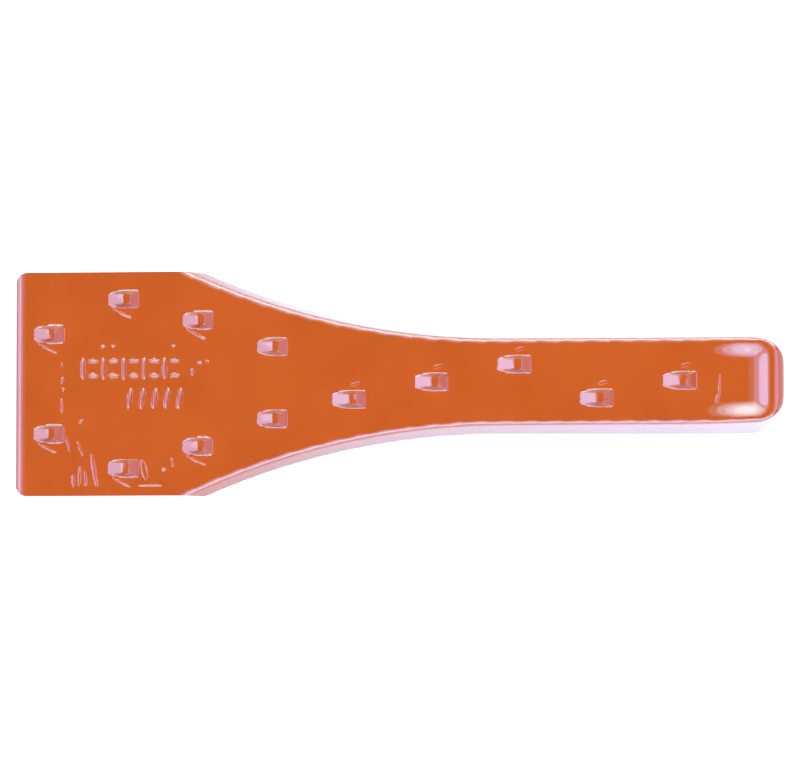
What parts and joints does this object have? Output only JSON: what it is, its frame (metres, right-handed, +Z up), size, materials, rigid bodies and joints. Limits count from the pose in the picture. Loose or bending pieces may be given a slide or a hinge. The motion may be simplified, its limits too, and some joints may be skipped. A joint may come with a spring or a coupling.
{
  "type": "felling wedge",
  "caption": "Cast felling wedge with a thin flared blade, a thicker straight handle, a raised lip across the struck head, gripping barbs on its sloping top face, and a thick dip coat.",
  "frame": {"origin": "centre of the footprint, on the plane that the flat underside rests on", "axes": "+X along the wedge from its thin edge to its struck head, +Y across the blade, +Z up out of the barbed face"},
  "size_m": [0.27, 0.079, 0.0302],
  "materials": {
    "coat": "thick glossy orange dip coat",
    "casting": "as cast, fine sand texture"
  },
  "bodies": {
    "root": {"dip_coat": "coat", "cast_body": "casting"}
  },
  "joints": []
}
